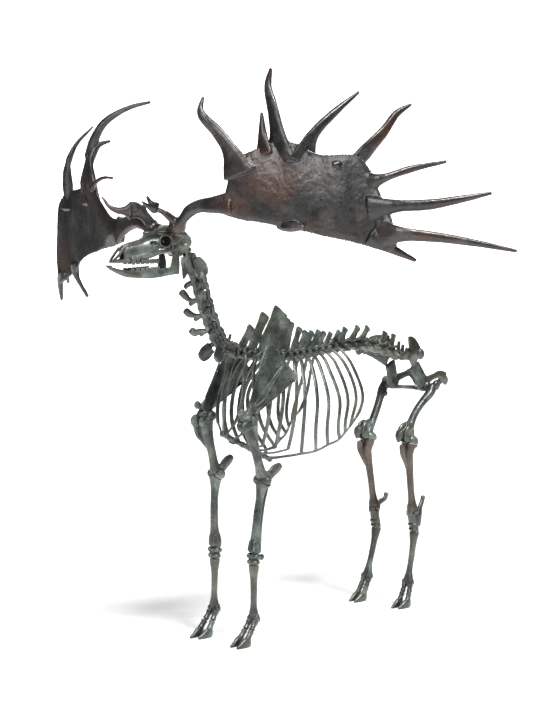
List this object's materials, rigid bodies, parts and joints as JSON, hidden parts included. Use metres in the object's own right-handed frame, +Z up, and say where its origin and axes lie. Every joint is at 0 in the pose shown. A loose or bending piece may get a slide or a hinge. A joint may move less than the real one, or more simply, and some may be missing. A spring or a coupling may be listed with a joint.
{
  "type": "giant deer skeleton",
  "caption": "Still life-size museum skeleton of a standing giant deer with broad palmed antlers, raised head and long slender legs, resting on its hooves.",
  "frame": {"origin": "middle of the bounding box in plan, on the floor under the hooves", "axes": "+X to the animal's left, +Y towards its tail, +Z up"},
  "size_m": [2.8613, 2.5119, 2.9537],
  "materials": {
    "bone": "satin",
    "shin": "satin",
    "antler": "satin"
  },
  "bodies": {
    "root": {"antler_left_beam": "antler", "antler_left_brow_tine": "antler", "antler_left_palm_inner": "antler", "antler_left_palm_outer": "antler", "antler_right_beam": "antler", "antler_right_brow_tine": "antler", "antler_right_palm_inner": "antler", "antler_right_palm_outer": "antler", "atlas": "bone", "axis": "bone", "carpus_left": "bone", "carpus_right": "bone", "cervical_3": "bone", "cervical_4": "bone", "cervical_5": "bone", "cervical_6": "bone", "cervical_7": "bone", "femur_left": "bone", "femur_right": "bone", "humerus_left": "bone", "humerus_right": "bone", "lumbar_spine": "bone", "mandible_left": "bone", "mandible_right": "bone", "metacarpal_left": "bone", "metacarpal_right": "bone", "metatarsal_left": "bone", "metatarsal_right": "bone", "patella_left": "bone", "patella_right": "bone", "pelvis": "bone", "radius_ulna_left": "bone", "radius_ulna_right": "bone", "ribs_left": "bone", "ribs_right": "bone", "sacrum": "bone", "scapula_left": "bone", "scapula_right": "bone", "skull": "bone", "sternum": "bone", "tarsus_left": "bone", "tarsus_right": "bone", "thoracic_spine": "bone", "tibia_left": "shin", "tibia_right": "shin", "toe_front_left_inner": "bone", "toe_front_left_outer": "bone", "toe_front_right_inner": "bone", "toe_front_right_outer": "bone", "toe_hind_left_inner": "bone", "toe_hind_left_outer": "bone", "toe_hind_right_inner": "bone", "toe_hind_right_outer": "bone"}
  },
  "joints": []
}
